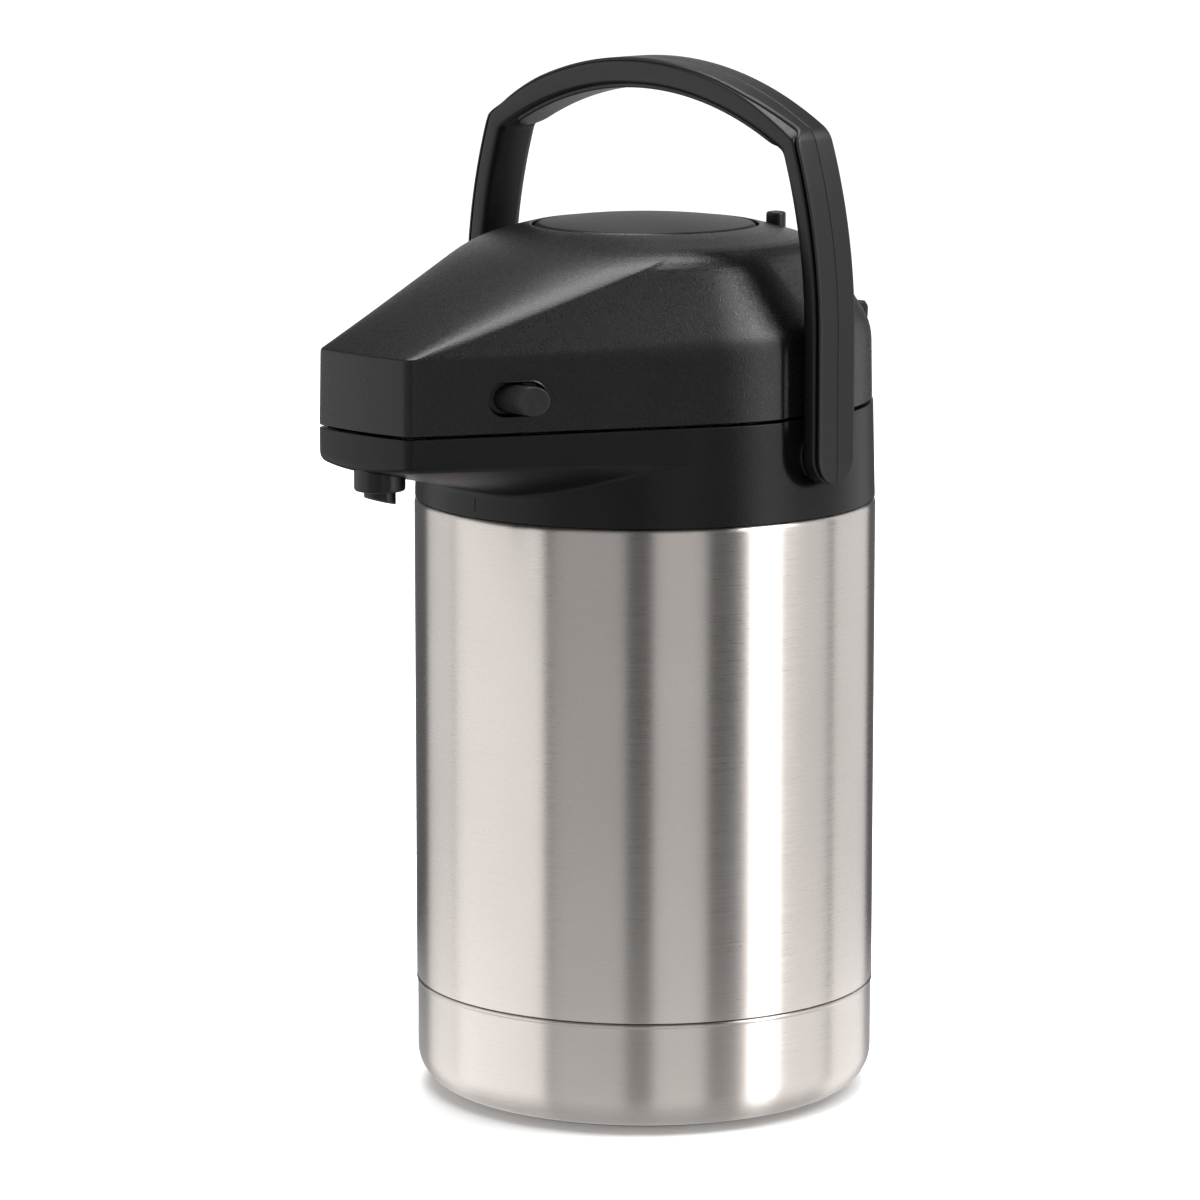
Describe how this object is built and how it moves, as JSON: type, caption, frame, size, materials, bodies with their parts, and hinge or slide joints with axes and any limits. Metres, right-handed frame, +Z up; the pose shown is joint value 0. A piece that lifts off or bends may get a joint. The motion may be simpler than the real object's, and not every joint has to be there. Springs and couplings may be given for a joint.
{
  "type": "thermal coffee airpot",
  "caption": "Push-button vacuum airpot with steel flask, beaked pump lid, carrying bail, lock peg, squeeze latches and spout.",
  "frame": {"origin": "on the flask's axis, at the resting plane under the foot pad", "axes": "+Z up along the flask's axis, -Y towards the spout, X across along the handle's pivot axis"},
  "size_m": [0.18, 0.2258, 0.3717],
  "materials": {
    "outer_shell": "circumferentially brushed",
    "base_cup": "circumferentially brushed",
    "bottom_plate": "matt moulded",
    "foot_pad": "matt",
    "flask_liner": "bright drawn",
    "shell_gasket": "matt",
    "lower_housing": "fine grained",
    "neck_ring": "satin",
    "neck_gasket": "matt",
    "dip_tube": "bright drawn",
    "tube_seal": "matt",
    "spout_conduit": "satin",
    "nozzle_housing": "satin",
    "nozzle_outlet": "satin",
    "nozzle_seal": "matt",
    "hinge_pin": "bright drawn",
    "pivot_pins": "bright drawn",
    "pivot_bushes": "satin",
    "lid_shell": "fine grained",
    "lid_floor": "satin",
    "lid_screws": "bright",
    "button_guide": "satin",
    "bellows": "matt",
    "return_spring": "bright wire",
    "air_valve": "matt",
    "lid_gasket": "matt",
    "release_spring_left": "bright wire",
    "release_spring_right": "bright wire",
    "push_button": "satin",
    "pusher_plate": "satin",
    "lock_ring": "satin",
    "release_left": "satin",
    "release_right": "satin",
    "handle_frame": "satin",
    "handle_cover": "satin"
  },
  "bodies": {
    "root": {"outer_shell": "outer_shell", "base_cup": "base_cup", "bottom_plate": "bottom_plate", "foot_pad": "foot_pad", "flask_liner": "flask_liner", "shell_gasket": "shell_gasket", "lower_housing": "lower_housing", "neck_ring": "neck_ring", "neck_gasket": "neck_gasket", "dip_tube": "dip_tube", "tube_seal": "tube_seal", "spout_conduit": "spout_conduit", "nozzle_housing": "nozzle_housing", "nozzle_outlet": "nozzle_outlet", "nozzle_seal": "nozzle_seal", "hinge_pin": "hinge_pin", "pivot_pins": "pivot_pins", "pivot_bushes": "pivot_bushes"},
    "lid": {"lid_shell": "lid_shell", "lid_floor": "lid_floor", "lid_screws": "lid_screws", "button_guide": "button_guide", "bellows": "bellows", "return_spring": "return_spring", "air_valve": "air_valve", "lid_gasket": "lid_gasket", "release_spring_left": "release_spring_left", "release_spring_right": "release_spring_right"},
    "button": {"push_button": "push_button", "pusher_plate": "pusher_plate"},
    "lock": {"lock_ring": "lock_ring"},
    "release_left": {"release_left": "release_left"},
    "release_right": {"release_right": "release_right"},
    "handle": {"handle_frame": "handle_frame", "handle_cover": "handle_cover"}
  },
  "joints": [
    {"name": "lid_hinge", "type": "hinge", "parent": "root", "child": "lid", "pos_m": [0, 0.082, 0.252], "axis": [-1, 0, 0], "range_deg": [0, 12]},
    {"name": "handle_pivot", "type": "hinge", "parent": "root", "child": "handle", "pos_m": [0, 0.005, 0.2376], "axis": [-1, 0, 0], "range_deg": [-25, 100]},
    {"name": "button_press", "type": "slide", "parent": "lid", "child": "button", "axis": [0, 0, -1], "range_m": [0, 0.022], "stiffness_N_per_m": 350, "springref_m": -0.012, "deforming": ["bellows", "return_spring"]},
    {"name": "lock_turn", "type": "hinge", "parent": "lid", "child": "lock", "pos_m": [0, 0, 0.2845], "axis": [0, 0, 1], "range_deg": [0, 48]},
    {"name": "release_left_press", "type": "slide", "parent": "lid", "child": "release_left", "axis": [1, 0, 0], "range_m": [0, 0.004], "stiffness_N_per_m": 400, "springref_m": -0.003, "deforming": ["release_spring_left"]},
    {"name": "release_right_press", "type": "slide", "parent": "lid", "child": "release_right", "axis": [-1, 0, 0], "range_m": [0, 0.004], "stiffness_N_per_m": 400, "springref_m": -0.003, "deforming": ["release_spring_right"]}
  ]
}
